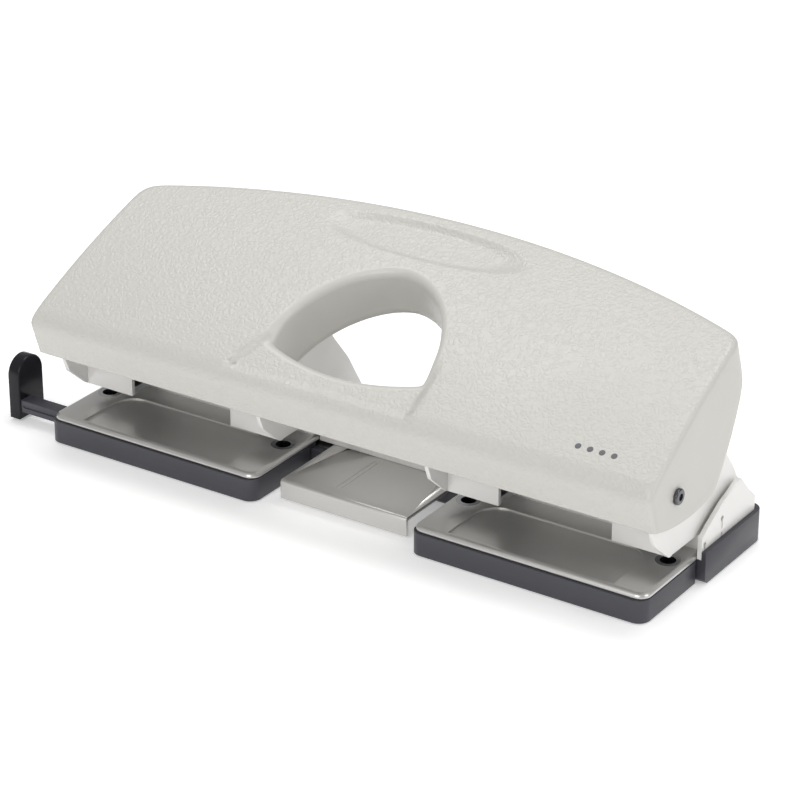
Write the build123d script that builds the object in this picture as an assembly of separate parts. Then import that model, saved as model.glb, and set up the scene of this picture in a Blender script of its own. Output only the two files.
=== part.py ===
from build123d import *
import os
from math import cos, pi, radians, sin

# Four-position lever punch: two twin-pin punch units side by side under one long hand lever.
# Millimetres. While it is modelled, X = 0 is the middle of the punch, Y = 0 is the front edge
# of the chip trays, Z = 0 is the table. export() moves the origin to the anti-slip pad's centre.

os.makedirs("parts", exist_ok=True)

# ---------------------------------------------------------------- driving dimensions
UNIT_X = 80.0            # middle of each punch unit, left and right of the centre mark
PIN_U = 40.0             # each pin, either side of its unit's middle: 80 mm pitch throughout
PIN_Y = 28.0             # line of the hole centres
HOLE_MARGIN = 12.0       # hole centre to paper edge
STOP_Y = PIN_Y + HOLE_MARGIN
PIN_R = 2.75
RUN = 0.05               # radial running clearance

STAGE_TOP = 11.0         # die plate, where the paper lies
STAGE_T = 1.8
STAGE_HALF = 46.4
STAGE_FRONT = 1.2
STAGE_REAR = 62.0
JAW_Z = 17.2             # underside of the lower pin guide
SHEET = 1.6              # steel sheet of the frames

PIVOT_Y = 15.0           # lever pivot
PIVOT_Z = 43.5
SWING = 28.0             # lever travel, degrees
PUSH_R = 13.4            # pusher rod's arm about the pivot
ROD_R = 3.0
SHAFT_R = 2.3

COVER_T = 1.5            # lever cover wall
COVER_Y = -6.61          # where the cover's curved top would start
COVER_Z = 50.39
COVER_SLOPE = radians(31.43)
COVER_R = 368.4          # its large radius
COVER_HALF = 130.3       # half width at the ridge
COVER_DRAFT = 0.052      # the end walls lean in towards the top edge
ARCH_MID = 97.4          # top edge, measured up the slope, in the middle
ARCH_END = 75.4          # and at the end walls
ARCH_TILT = radians(18.0)
SKIRT_Y = 0.0            # front skirt's lower edge
SKIRT_Z = 36.0
TUNNEL_DEPTH = 22.0      # wall round the grip hole

BASE_DEPTH = 79.0
PAN_HALF = 130.0
PAN_FRONT = 36.4
PAN_Z = 0.6
PAN_TOP = 12.6
PAN_T = 1.7
TRAY_HALF = 46.7
TRAY_REAR = 35.6
TRAY_TOP = 9.0
TRAY_T = 1.8
PLATE_Z = 5.2            # underside of the steel base plate
PLATE_T = 2.0
CENTRE_TOP = 8.6
PAD_Y = 57.6             # middle of the anti-slip pad, the part's own origin

BAR_Y = 7.0              # paper guide bar's front face
BAR_D = 5.6
BAR_Z = 4.0
BAR_H = 5.0
GUIDE_OUT = -151.0       # outer face of the guide's end stop


def export(solid, node):
    """Move a finished piece to the part's own origin and write its file."""
    moved = Pos(0, -PAD_Y, 0) * solid
    export_step(moved, f"parts/{node}.step")
    count = len(moved.solids())
    print(f"{node:28s} solids {count}  volume {moved.volume:10.1f}")


def block(x0, x1, y0, y1, z0, z1):
    """A box from its limits, whichever order they come in."""
    size = (abs(x1 - x0), abs(y1 - y0), abs(z1 - z0))
    middle = ((x0 + x1) / 2, (y0 + y1) / 2, (z0 + z1) / 2)
    return Pos(*middle) * Box(*size)


def rod_x(x0, x1, y, z, radius):
    """A round bar along X."""
    turned = Rot(0, 90, 0) * Cylinder(radius, abs(x1 - x0))
    return Pos((x0 + x1) / 2, y, z) * turned


def post(x, y, z0, z1, radius):
    """A round bar along Z."""
    return Pos(x, y, (z0 + z1) / 2) * Cylinder(radius, z1 - z0)


def side_plate(points, x0, x1):
    """A flat plate in a plane of constant X, from its (Y, Z) outline."""
    outline = Plane.YZ * make_face(Polyline(*points, close=True))
    low = min(x0, x1)
    return Pos(low, 0, 0) * extrude(outline, amount=abs(x1 - x0), dir=(1, 0, 0))


def on_top(s):
    """Point of the cover's curved top, a distance s up its slope in side view."""
    angle = COVER_SLOPE - s / COVER_R
    y = COVER_Y + COVER_R * (sin(COVER_SLOPE) - sin(angle))
    z = COVER_Z + COVER_R * (cos(angle) - cos(COVER_SLOPE))
    return y, z


def inward(s, depth):
    """The same point, moved into the cover by depth."""
    angle = COVER_SLOPE - s / COVER_R
    y, z = on_top(s)
    return y + depth * sin(angle), z - depth * cos(angle)


# ---------------------------------------------------------------- lever cover
RIDGE_S = 2.0            # where the front skirt meets the curved top
CREST_S = 101.0          # the profile runs past the arched edge
LIP = 10.0               # turned-down rim along the arched edge


def cover_profile(depth, under):
    """Side view of the cover: front skirt, curved top, and what closes it below.

    depth moves the skirt and the top inward; under lists the closing corners from the
    crest back to the foot of the skirt.
    """
    lean = (RIDGE_S + COVER_Y - SKIRT_Y) / (on_top(RIDGE_S)[1] - SKIRT_Z)
    foot = (SKIRT_Y + depth, SKIRT_Z - (20 if depth else 0))
    foot = (foot[0] - lean * (20 if depth else 0), foot[1])
    ridge = inward(RIDGE_S, depth)
    ridge = (ridge[0] + depth * 0.55, ridge[1] + depth * 0.3)
    middle = inward(50, depth)
    crest = inward(CREST_S, depth)
    top = ThreePointArc(ridge, middle, crest)
    return foot, ridge, crest, top, under


def filled(foot, ridge, crest, top, below, ridge_radius):
    """Face in the YZ plane from the pieces of a cover profile."""
    edges = [Line(foot, ridge), top] + below(crest, foot)
    face = make_face(Wire(edges))
    corner = [v for v in face.vertices() if abs(v.X - ridge[0]) < 0.01 and abs(v.Y - ridge[1]) < 0.01]
    face = fillet(corner, ridge_radius)
    return Plane.YZ * face


def leaf_edges(crest, foot):
    """Rim, end wall's rear edge and its curved lower edge."""
    lip = inward(CREST_S, LIP)
    shoulder = (67.5, 73.0)
    heel = (44.0, 31.8)
    rear = ThreePointArc(shoulder, (57.6, 49.5), heel)
    lower = ThreePointArc(heel, (21.0, 31.3), foot)
    return [Line(crest, lip), Line(lip, shoulder), rear, lower]


def open_edges(crest, foot):
    """A wide region below, for the hollow side of the cover."""
    far = (125.0, crest[1] - 20)
    low = (125.0, foot[1])
    return [Line(crest, far), Line(far, low), Line(low, foot)]


def plan(inset):
    """The cover seen square to its top edge: tapering ends and an arched edge."""
    front = -14.0
    end = ARCH_END - inset * 0.9
    mid = ARCH_MID - inset
    x_front = COVER_HALF - COVER_DRAFT * front - inset
    x_end = COVER_HALF - COVER_DRAFT * end - inset
    edges = [
        Line((-x_front, front), (x_front, front)),
        Line((x_front, front), (x_end, end)),
        ThreePointArc((x_end, end), (0, mid), (-x_end, end)),
        Line((-x_end, end), (-x_front, front)),
    ]
    face = make_face(Wire(edges))
    corners = [v for v in face.vertices() if v.Y > 0]
    return fillet(corners, max(7.0 - inset, 2.0))


def slope_plane(y, z, angle):
    """A plane with its x along X, its y up the slope, and its z out of the cover."""
    return Plane(origin=(0, y, z), x_dir=(1, 0, 0), z_dir=(0, -sin(angle), cos(angle)))


def plan_prism(inset):
    """The plan carried straight through the cover."""
    plane = slope_plane(COVER_Y, COVER_Z, ARCH_TILT)
    return extrude(plane * plan(inset), amount=110, both=True)


def side_prism(face):
    """A side view carried across the whole width."""
    return extrude(face, amount=COVER_HALF + 8, dir=(1, 0, 0), both=True)


HOLE_X = -2.0            # grip hole
HOLE_HALF = 31.5
HOLE_FOOT = 16.0         # lowest point of its rim, up the slope
HOLE_SHOULDER = 26.0
HOLE_RISE = 38.5
HOLE_POWER = 1.8         # a little more pointed than an ellipse
HOLE_AT = 40.0           # the hole is cut square to the top at this point


def arch_point(half, rise, base, turn):
    """Point of the hole's pointed arch at an angle from 0 to 180 degrees."""
    power = 2 / HOLE_POWER
    across = abs(cos(turn)) ** power * (1 if turn < pi / 2 else -1)
    return HOLE_X + half * across, base + rise * abs(sin(turn)) ** power


def grip_outline(grow):
    """Arched grip hole: a slightly pointed half ellipse over a shallow curved foot."""
    rise = HOLE_SHOULDER - HOLE_AT
    foot = HOLE_FOOT - HOLE_AT - grow
    half = HOLE_HALF + grow
    knee = 22.0 - HOLE_AT - grow * 0.7
    arch = [arch_point(half, HOLE_RISE + grow, rise, pi * step / 14) for step in range(15)]
    edges = [
        Spline(*arch, tangents=[(0, 1), (0, -1)]),
        Line((HOLE_X - half, rise), (HOLE_X - half, knee)),
        ThreePointArc((HOLE_X - half, knee), (HOLE_X, foot), (HOLE_X + half, knee)),
        Line((HOLE_X + half, knee), (HOLE_X + half, rise)),
    ]
    face = make_face(Wire(edges))
    corners = [v for v in face.vertices() if abs(v.Y - knee) < 0.01]
    return fillet(corners, 3.5)


def grip_prism(grow, above, below):
    """The hole's outline carried through the cover, from above it to below it."""
    y, z = inward(HOLE_AT, below)
    plane = slope_plane(y, z, COVER_SLOPE - HOLE_AT / COVER_R)
    return extrude(plane * grip_outline(grow), amount=above + below)


foot, ridge, crest, top, _ = cover_profile(0, None)
outer_face = filled(foot, ridge, crest, top, leaf_edges, 6.0)
foot_in, ridge_in, crest_in, top_in, _ = cover_profile(COVER_T, None)
inner_face = filled(foot_in, ridge_in, crest_in, top_in, open_edges, 4.5)
under_foot = (foot[0] + 2, foot[1] - 20)
under_face = filled(foot, ridge, crest, top, open_edges, 6.0)

under_top = side_prism(under_face)
hollow_side = side_prism(inner_face)
shell = side_prism(outer_face) & plan_prism(0)
shell = shell - (hollow_side & plan_prism(COVER_T))
tunnel = grip_prism(1.2, 12, TUNNEL_DEPTH) & under_top
cover = (shell + tunnel) - grip_prism(0, 30, TUNNEL_DEPTH + 5)
for side in (-1, 1):
    cover = cover - rod_x(side * 120, side * 134, PIVOT_Y, PIVOT_Z, SHAFT_R + RUN)
export(cover, "lever_cover")


# ---------------------------------------------------------------- inside the lever
ROD_Y = PIVOT_Y + PUSH_R * cos(radians(SWING / 2))
ROD_Z = PIVOT_Z + PUSH_R * sin(radians(SWING / 2))
TRAVEL = 2 * PUSH_R * sin(radians(SWING / 2))
RIB_U = 31.0
RIB_T = 2.0
print("pin travel", round(TRAVEL, 3), "mm over", SWING, "degrees")


def pusher_ribs(side):
    """Two steel ribs that hang from the cover's top, turn on the shaft and hold the rod."""
    outline = [(9.5, 40), (13, 36.8), (20, 36.8), (30, 40.5), (34.5, 47), (38, 58), (46, 90), (8, 90), (8, 46)]
    ribs = None
    for u in (-RIB_U, RIB_U):
        x = side * (UNIT_X + u)
        rib = side_plate(outline, x - RIB_T / 2, x + RIB_T / 2) & hollow_side
        rib = rib - rod_x(x - 3, x + 3, PIVOT_Y, PIVOT_Z, SHAFT_R + RUN)
        rib = rib - rod_x(x - 3, x + 3, ROD_Y, ROD_Z, ROD_R)
        ribs = rib if ribs is None else ribs + rib
    return ribs


def pusher_rod(side):
    """Rod across both pins of a unit, ends rounded over."""
    rod = rod_x(side * (UNIT_X - 42.6), side * (UNIT_X + 42.6), ROD_Y, ROD_Z, ROD_R)
    ends = rod.edges().filter_by(GeomType.CIRCLE)
    return fillet(ends, 0.8)


# ---------------------------------------------------------------- punch units
FRAME_HALF = 45.0
FRAME_Y = 19.7           # front wall
FRAME_TOP = 31.0
TAB_IN = 22.6            # tabs hang in front of the pins
TAB_Z = 17.1
NOSE = [(7.3, FRAME_TOP), (9.3, 25.9), (19.0, 17.4), (STOP_Y, JAW_Z), (STOP_Y, STAGE_TOP)]
EAR = NOSE + [(75.5, STAGE_TOP), (75.5, 13), (62.9, 33.8), (55, 43.5), (50, 50), (12, 50), (7, 44)]
FOOT_TOP = STAGE_TOP + SHEET
RIVET_U = 22.0           # rivets through frame foot, die plate, spacer and base plate
RIVET_Y = 50.0
RIVET_R = 1.6


def punch_frame(side):
    """Folded sheet frame: front wall with two tabs, two tall ears, paper stop and riveted foot."""
    def at(u):
        return side * (UNIT_X + u)
    wall = block(at(-FRAME_HALF), at(FRAME_HALF), FRAME_Y, FRAME_Y + SHEET, 24.6, FRAME_TOP)
    for tab in (-1, 1):
        wall = wall + block(at(tab * TAB_IN), at(tab * FRAME_HALF), FRAME_Y, FRAME_Y + SHEET, TAB_Z, 25)
    rear = block(at(-FRAME_HALF), at(FRAME_HALF), STOP_Y, STOP_Y + SHEET, STAGE_TOP, FRAME_TOP)
    frame = wall + rear
    for end in (-1, 1):
        ear = side_plate(EAR, at(end * (FRAME_HALF - SHEET)), at(end * FRAME_HALF))
        ear_edges = ear.edges().filter_by(Axis.X).sort_by(Axis.Z)[-3:]
        frame = frame + fillet(ear_edges, 3.0)
    frame = frame + block(at(-FRAME_HALF + SHEET), at(FRAME_HALF - SHEET), STOP_Y, 58, STAGE_TOP, FOOT_TOP)
    for x in (at(-FRAME_HALF), at(FRAME_HALF)):
        frame = frame - rod_x(x - 3, x + 3, PIVOT_Y, PIVOT_Z, SHAFT_R)
    for u in (-RIVET_U, RIVET_U):
        frame = frame - post(at(u), RIVET_Y, STAGE_TOP - 1, FOOT_TOP + 1, RIVET_R)
    return frame


def guide_plate(side):
    """Upper pin guide: a flat plate between the frame's walls with a bore for each pin's neck."""
    z0 = UPPER_Z
    z1 = UPPER_Z + UPPER_T
    half = FRAME_HALF - SHEET
    x0 = side * (UNIT_X - half)
    x1 = side * (UNIT_X + half)
    plate = block(x0, x1, FRAME_Y + SHEET, STOP_Y, z0, z1)
    for u in (-PIN_U, PIN_U):
        plate = plate - post(side * (UNIT_X + u), PIN_Y, z0 - 1, z1 + 1, NECK_R + RUN)
    return plate


def guide_blocks(side):
    """Lower pin guide: one short block behind each tab."""
    blocks = None
    for u in (-1, 1):
        x0 = side * UNIT_X + u * TAB_IN
        x1 = side * UNIT_X + u * (FRAME_HALF - SHEET)
        piece = block(x0, x1, FRAME_Y + SHEET, STOP_Y, JAW_Z, JAW_Z + 2.8)
        piece = piece - post(side * UNIT_X + u * PIN_U, PIN_Y, JAW_Z - 1, JAW_Z + 4, PIN_R + RUN)
        blocks = piece if blocks is None else blocks + piece
    return blocks


DIE_R = 4.5
DIE_Z = 8.0
RECESS_HALF = 33.0
RECESS = 0.8


def stage_plate(side):
    """Die plate: rounded front, a shallow recess between the dies, seats for the die rings."""
    x0 = side * UNIT_X - STAGE_HALF
    x1 = side * UNIT_X + STAGE_HALF
    z0 = STAGE_TOP - STAGE_T
    plate = block(x0, x1, STAGE_FRONT, STAGE_REAR, z0, STAGE_TOP)
    upright = plate.edges().filter_by(Axis.Z).sort_by(Axis.Y)[:2]
    plate = fillet(upright, 4.2)
    rim = plate.faces().sort_by(Axis.Z)[-1].edges().sort_by(Axis.Y)[:3]
    plate = fillet(rim, 1.7)
    x_mid = side * UNIT_X
    recess = block(x_mid - RECESS_HALF, x_mid + RECESS_HALF, 3.6, 30, STAGE_TOP - RECESS, STAGE_TOP + 1)
    corners = recess.edges().filter_by(Axis.Z).sort_by(Axis.Y)
    recess = fillet(corners[2:], 9.0)
    plate = plate - recess
    for u in (-PIN_U, PIN_U):
        plate = plate - post(x_mid + u, PIN_Y, z0 - 1, STAGE_TOP + 1, DIE_R)
    for u in (-RIVET_U, RIVET_U):
        plate = plate - post(x_mid + u, RIVET_Y, z0 - 1, STAGE_TOP + 1, RIVET_R)
    return plate


def die_ring(x):
    """Hardened ring that the pin shears against."""
    ring = post(x, PIN_Y, DIE_Z, STAGE_TOP, DIE_R)
    return ring - post(x, PIN_Y, DIE_Z - 1, STAGE_TOP + 1, PIN_R + RUN)


UPPER_Z = 27.0
UPPER_T = 2.0
PIN_TIP = 16.9
PIN_TOP = ROD_Z - ROD_R - 0.05
HEAD_T = 1.5
HEAD_R = 3.0
NECK_R = 2.0


def punch_pin(x):
    """Punch pin with a slim neck, a flat head and a hollow-ground tip."""
    pin = post(x, PIN_Y, PIN_TIP, UPPER_Z - 0.1, PIN_R)
    pin = pin + post(x, PIN_Y, UPPER_Z - 0.1, PIN_TOP - HEAD_T, NECK_R)
    head = post(x, PIN_Y, PIN_TOP - HEAD_T, PIN_TOP, HEAD_R)
    head = fillet(head.edges().filter_by(GeomType.CIRCLE).sort_by(Axis.Z)[-1:], 0.5)
    grind = Pos(x, PIN_Y, PIN_TIP - 3.4) * (Rot(0, 90, 0) * Cylinder(4.0, 12))
    return pin + head - grind


SPRING_R = 2.7


def return_spring(x):
    """The space of one return spring: a sleeve round the pin's neck."""
    z0 = UPPER_Z + UPPER_T + 0.05
    z1 = PIN_TOP - HEAD_T - 0.05
    sleeve = post(x, PIN_Y, z0, z1, SPRING_R + 0.4)
    return sleeve - post(x, PIN_Y, z0 - 1, z1 + 1, SPRING_R - 0.4)


HEAD_X = COVER_HALF - COVER_DRAFT * 18.4 + 0.25


def pivot_shaft(side):
    """Shaft through a unit, with a hollow rivet head outside the cover's end wall."""
    shaft = rod_x(side * (UNIT_X - FRAME_HALF), side * HEAD_X, PIVOT_Y, PIVOT_Z, SHAFT_R)
    head = rod_x(side * HEAD_X, side * (HEAD_X + 1.3), PIVOT_Y, PIVOT_Z, 2.9)
    rim = head.edges().filter_by(GeomType.CIRCLE).sort_by(Axis.X)
    rim = rim[-1:] if side > 0 else rim[:1]
    head = fillet(rim, 0.6)
    dimple = rod_x(side * (HEAD_X - 2), side * (HEAD_X + 3), PIVOT_Y, PIVOT_Z, 1.3)
    return shaft + head - dimple


def pivot_washer(side):
    """Plastic washer between the frame's ear and the cover's end wall."""
    x0 = side * (UNIT_X + FRAME_HALF + 0.05)
    x1 = side * (UNIT_X + FRAME_HALF + 2.4)
    ring = rod_x(x0, x1, PIVOT_Y, PIVOT_Z, 5.0)
    return ring - rod_x(x0 - side, x1 + side, PIVOT_Y, PIVOT_Z, SHAFT_R)


def spacer_bar(side):
    """Bar that lifts the die plate's rear onto the base plate."""
    x_mid = side * UNIT_X
    bar = block(x_mid - 44, x_mid + 44, 44, 60, PLATE_Z + PLATE_T, STAGE_TOP - STAGE_T)
    for u in (-RIVET_U, RIVET_U):
        bar = bar - post(x_mid + u, RIVET_Y, 0, 20, RIVET_R)
    return bar


def frame_rivets(side):
    """Two rivets that hold frame, die plate, spacer and base plate together."""
    group = None
    for u in (-RIVET_U, RIVET_U):
        x = side * UNIT_X + u
        rivet = post(x, RIVET_Y, PLATE_Z, FOOT_TOP, RIVET_R)
        rivet = rivet + post(x, RIVET_Y, FOOT_TOP, FOOT_TOP + 1.0, 2.9)
        rivet = rivet + post(x, RIVET_Y, PLATE_Z - 1.0, PLATE_Z, 2.9)
        group = rivet if group is None else group + rivet
    return group


# ---------------------------------------------------------------- base
PAN_WALL = 3.6           # front wall, thick enough for the tray hinges
HINGE_Y = 38.2
HINGE_Z = 3.1
HINGE_R = 1.1
LUG_R = 2.2
LUG_U = 30.0
LUG_HALF = 4.0
BOSS_TOP = 11.5          # tips of the long screws, inside the rear deck's bosses
SCREWS = [(x, y) for x in (-112.0, -42.0, 42.0, 112.0) for y in (52.0, 72.0)]


def rear_pan():
    """Black moulded pan under the rear half, open above, notched for the tray hinges."""
    pan = block(-PAN_HALF, PAN_HALF, PAN_FRONT, BASE_DEPTH, PAN_Z, PAN_TOP)
    corners = pan.edges().filter_by(Axis.Z).sort_by(Axis.Y)[-2:]
    pan = fillet(corners, 5.0)
    hollow = block(-PAN_HALF + PAN_T, PAN_HALF - PAN_T, PAN_FRONT + PAN_WALL, BASE_DEPTH - PAN_T,
                   PAN_Z + 1.6, PAN_TOP + 1)
    hollow = fillet(hollow.edges().filter_by(Axis.Z).sort_by(Axis.Y)[-2:], 3.3)
    pan = pan - hollow
    front_top = block(-PAN_HALF + PAN_T, PAN_HALF - PAN_T, PAN_FRONT - 1, PAN_FRONT + PAN_WALL,
                      STAGE_TOP - STAGE_T, PAN_TOP + 1)
    middle = block(-33.9, 33.9, PAN_FRONT - 1, PAN_FRONT + PAN_WALL, CENTRE_TOP - 1.4, PAN_TOP)
    pan = pan - front_top - middle
    for side in (-1, 1):
        for u in (-LUG_U, LUG_U):
            x = side * UNIT_X + u
            pan = pan - block(x - LUG_HALF - 0.3, x + LUG_HALF + 0.3, PAN_FRONT - 1,
                              PAN_FRONT + PAN_WALL + 1, PAN_Z - 1, HINGE_Z + LUG_R + 0.4)
            pan = pan - rod_x(x - 8, x + 8, HINGE_Y, HINGE_Z, HINGE_R)
    for x, y in SCREWS:
        pan = pan + post(x, y, PAN_Z + 1.2, PLATE_Z, 4.5)
        pan = pan - post(x, y, PAN_Z - 1, 2.6, 3.2) - post(x, y, 0, PLATE_Z + 1, 1.7)
    seat = block(-62, 62, PAD_Y - 11, PAD_Y + 11, 0, PAN_Z + 0.5)
    relief = side_plate([(PAN_FRONT - 1, PAN_Z - 1), (PAN_FRONT - 1, PAN_Z + 2.5), (PAN_FRONT, PAN_Z + 1.5),
                         (PAN_FRONT + 1.5, PAN_Z), (PAN_FRONT + 2.5, PAN_Z - 1)], -PAN_HALF - 1, PAN_HALF + 1)
    return pan - seat - relief


def base_screws():
    """Screws from below, through the pan into the base plate."""
    group = None
    for x, y in SCREWS:
        tip = PLATE_Z + PLATE_T - 0.2 if y < 60 else BOSS_TOP
        screw = post(x, y, 2.6, tip, 1.6) + post(x, y, 1.4, 2.6, 3.0)
        screw = screw - block(x - 2.2, x + 2.2, y - 0.35, y + 0.35, 1.0, 2.0)
        group = screw if group is None else group + screw
    return group


def base_plate():
    """Steel plate that ties both punch units together."""
    plate = block(-126, 126, PAN_FRONT + PAN_WALL + 0.2, 76, PLATE_Z, PLATE_Z + PLATE_T)
    for x, y in SCREWS:
        plate = plate - post(x, y, PLATE_Z - 1, PLATE_Z + PLATE_T + 1, 1.6)
    for x_mid in (-UNIT_X, UNIT_X):
        for u in (-RIVET_U, RIVET_U):
            plate = plate - post(x_mid + u, RIVET_Y, PLATE_Z - 1, 20, RIVET_R)
    for x in (-CENTRE_RIVET_X, CENTRE_RIVET_X):
        plate = plate - post(x, CENTRE_RIVET_Y, PLATE_Z - 1, 20, 1.3)
    return plate


CENTRE_HALF = 27.0
CENTRE_RIVET_X = 18.0
CENTRE_RIVET_Y = 54.0
CENTRE_MARK_X = -6.0


def centre_plate():
    """Plate between the units: rolled front lip and two fine centre marks."""
    half = CENTRE_HALF
    plate = block(-half, half, 8.0, 62, CENTRE_TOP - 1.4, CENTRE_TOP)
    lip = block(-half, half, 8.0, 9.4, 1.2, CENTRE_TOP - 0.5)
    plate = plate + lip
    front = plate.edges().filter_by(Axis.X).sort_by(Axis.Y)
    nose = [e for e in front if abs(e.center().Y - 8.0) < 0.01 and e.center().Z > 8]
    plate = fillet(nose, 1.2)
    for x in (CENTRE_MARK_X - 1.0, CENTRE_MARK_X + 1.0):
        plate = plate - block(x - 0.15, x + 0.15, 14, 40, CENTRE_TOP - 0.25, CENTRE_TOP + 1)
    for x in (-CENTRE_RIVET_X, CENTRE_RIVET_X):
        plate = plate - post(x, CENTRE_RIVET_Y, PLATE_Z - 1, 20, 1.3)
    return plate


def centre_rivets():
    """Two rivets that hold the centre plate to the base plate."""
    group = None
    for x in (-CENTRE_RIVET_X, CENTRE_RIVET_X):
        rivet = post(x, CENTRE_RIVET_Y, PLATE_Z, CENTRE_TOP, 1.3)
        rivet = rivet + post(x, CENTRE_RIVET_Y, CENTRE_TOP, CENTRE_TOP + 0.8, 2.4)
        rivet = rivet + post(x, CENTRE_RIVET_Y, PLATE_Z - 0.8, PLATE_Z, 2.4)
        group = rivet if group is None else group + rivet
    return group


DECK_Z = 14.2
DECK_T = 1.2
SIDE_IN = 126.5
SIDE_OUT = 128.2
SIDE_LINE = [(40.4, 9.4), (36.6, 9.4), (36.6, 17.8), (41, 20.5), (50, 25.2), (57, 27.5), (60, 28.8),
             (63.5, 29.3), (69.2, 23.0), (76.5, 16.4), (77.1, 15.4), (77.1, 5.0), (40.4, 5.0)]


def rear_deck():
    """Painted rear cover: top with slots for the frames' ears, side plates, screw bosses."""
    deck = block(-SIDE_OUT, SIDE_OUT, STOP_Y + SHEET + 0.3, 77.1, DECK_Z, DECK_Z + DECK_T)
    deck = deck + block(-SIDE_OUT, SIDE_OUT, 75.9, 77.1, PLATE_Z + PLATE_T + 0.1, DECK_Z + DECK_T)
    deck = deck + block(-33.4, 33.4, STOP_Y + SHEET + 0.3, STOP_Y + SHEET + 1.5, CENTRE_TOP + 0.1, DECK_Z)
    for x, y in SCREWS:
        if y > 60:
            deck = deck + post(x, y, PLATE_Z + PLATE_T, DECK_Z, 3.4)
            deck = deck - post(x, y, PLATE_Z, BOSS_TOP, 1.6)
    for side in (-1, 1):
        plate = side_plate(SIDE_LINE, side * SIDE_IN, side * SIDE_OUT)
        for y, z in ((38.8, 14.4), (50.7, 19.4)):
            plate = plate - rod_x(side * (SIDE_IN - 1), side * (SIDE_OUT + 1), y, z, 1.0)
            plate = plate - block(side * (SIDE_IN - 1), side * (SIDE_OUT + 1), y - 0.35, y + 0.35, 8, z)
        deck = deck + plate
        for ear_x in (UNIT_X - FRAME_HALF, UNIT_X + FRAME_HALF - SHEET):
            slot = block(side * (ear_x - 0.2), side * (ear_x + SHEET + 0.2), STOP_Y, 75.8, DECK_Z - 1, 20)
            deck = deck - slot
    plan_limit = block(-SIDE_OUT, SIDE_OUT, 30, 77.1, 0, 40)
    plan_limit = fillet(plan_limit.edges().filter_by(Axis.Z).sort_by(Axis.Y)[-2:], 3.2)
    return deck & plan_limit


def anti_slip_pad():
    """Rubber strip on the pan's underside."""
    pad = block(-61.8, 61.8, PAD_Y - 10.8, PAD_Y + 10.8, 0, PAN_Z + 0.5)
    return fillet(pad.edges().filter_by(Axis.Z), 3.0)


def corner_feet():
    """Two rubber feet at the pan's rear corners."""
    group = None
    for x in (-118.0, 118.0):
        foot_disc = post(x, 62.0, 0, PAN_Z, 5.0)
        group = foot_disc if group is None else group + foot_disc
    return group


# ---------------------------------------------------------------- chip trays
def chip_tray(side):
    """Black tray under a die plate that swings down from its rear edge."""
    x_mid = side * UNIT_X
    x0 = x_mid - TRAY_HALF
    x1 = x_mid + TRAY_HALF
    tray = block(x0, x1, 0, TRAY_REAR, 0.5, TRAY_TOP)
    tray = fillet(tray.edges().filter_by(Axis.Z).sort_by(Axis.Y)[:2], 4.5)
    hollow = block(x0 + TRAY_T, x1 - TRAY_T, TRAY_T, TRAY_REAR - TRAY_T, 2.0, TRAY_TOP + 1)
    hollow = fillet(hollow.edges().filter_by(Axis.Z).sort_by(Axis.Y)[:2], 2.7)
    tray = tray - hollow
    for u in (-LUG_U, LUG_U):
        x = x_mid + u
        knuckle = rod_x(x - LUG_HALF, x + LUG_HALF, HINGE_Y, HINGE_Z, LUG_R)
        web = block(x - LUG_HALF, x + LUG_HALF, TRAY_REAR - 1, HINGE_Y, HINGE_Z - 1.4, HINGE_Z + 1.4)
        tray = tray + knuckle + web
        tray = tray - rod_x(x - 8, x + 8, HINGE_Y, HINGE_Z, HINGE_R + RUN)
    for x in (x_mid - 36, x_mid + 36):
        tray = tray + block(x - 6, x + 6, 4, 8, 0, 0.6)
    if side < 0:
        tray = tray - block(x0 - 1, x0 + TRAY_T + 0.5, BAR_Y - 0.7, BAR_Y + BAR_D + 2.2,
                            BAR_Z - 0.4, TRAY_TOP + 1)
    return tray


def hinge_pins(side):
    """Two short pins on which a tray turns."""
    group = None
    for u in (-LUG_U, LUG_U):
        x = side * UNIT_X + u
        pin = rod_x(x - 8, x + 8, HINGE_Y, HINGE_Z, HINGE_R)
        group = pin if group is None else group + pin
    return group


# ---------------------------------------------------------------- paper guide
def guide_bar():
    """Square bar that slides out of the left end, grooved along its front."""
    bar = block(GUIDE_OUT + 3, -52, BAR_Y, BAR_Y + BAR_D, BAR_Z, BAR_Z + BAR_H)
    groove = block(GUIDE_OUT + 6, -54, BAR_Y - 1, BAR_Y + 0.5, BAR_Z + 2.1, BAR_Z + 2.9)
    return bar - groove


def guide_stop():
    """Rounded end stop that the paper's edge is pushed against."""
    y_mid = 13.4
    half = 7.1
    top_z = 25.0
    x0 = GUIDE_OUT
    x1 = GUIDE_OUT + 5
    stop = block(x0, x1, y_mid - half, y_mid + half, 1.0, top_z - half)
    stop = stop + rod_x(x0, x1, y_mid, top_z - half, half)
    rim = stop.faces().sort_by(Axis.X)[-1].edges()
    stop = fillet(rim, 0.7)
    socket = block(x0 + 3, x1 + 1, BAR_Y, BAR_Y + BAR_D, BAR_Z, BAR_Z + BAR_H)
    return stop - socket


def guide_channel():
    """Folded channel under the left die plate that carries the guide bar."""
    gap = 0.15
    z1 = STAGE_TOP - STAGE_T
    y0 = BAR_Y - gap
    y1 = BAR_Y + BAR_D + gap
    outside = block(-122, -92, y0 - 1, y1 + 1, BAR_Z - gap - 1, z1)
    inside = block(-123, -91, y0, y1, BAR_Z - gap, z1 + 1)
    return outside - inside


PIN_X = [-UNIT_X - PIN_U, -UNIT_X + PIN_U, UNIT_X - PIN_U, UNIT_X + PIN_U]

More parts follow.
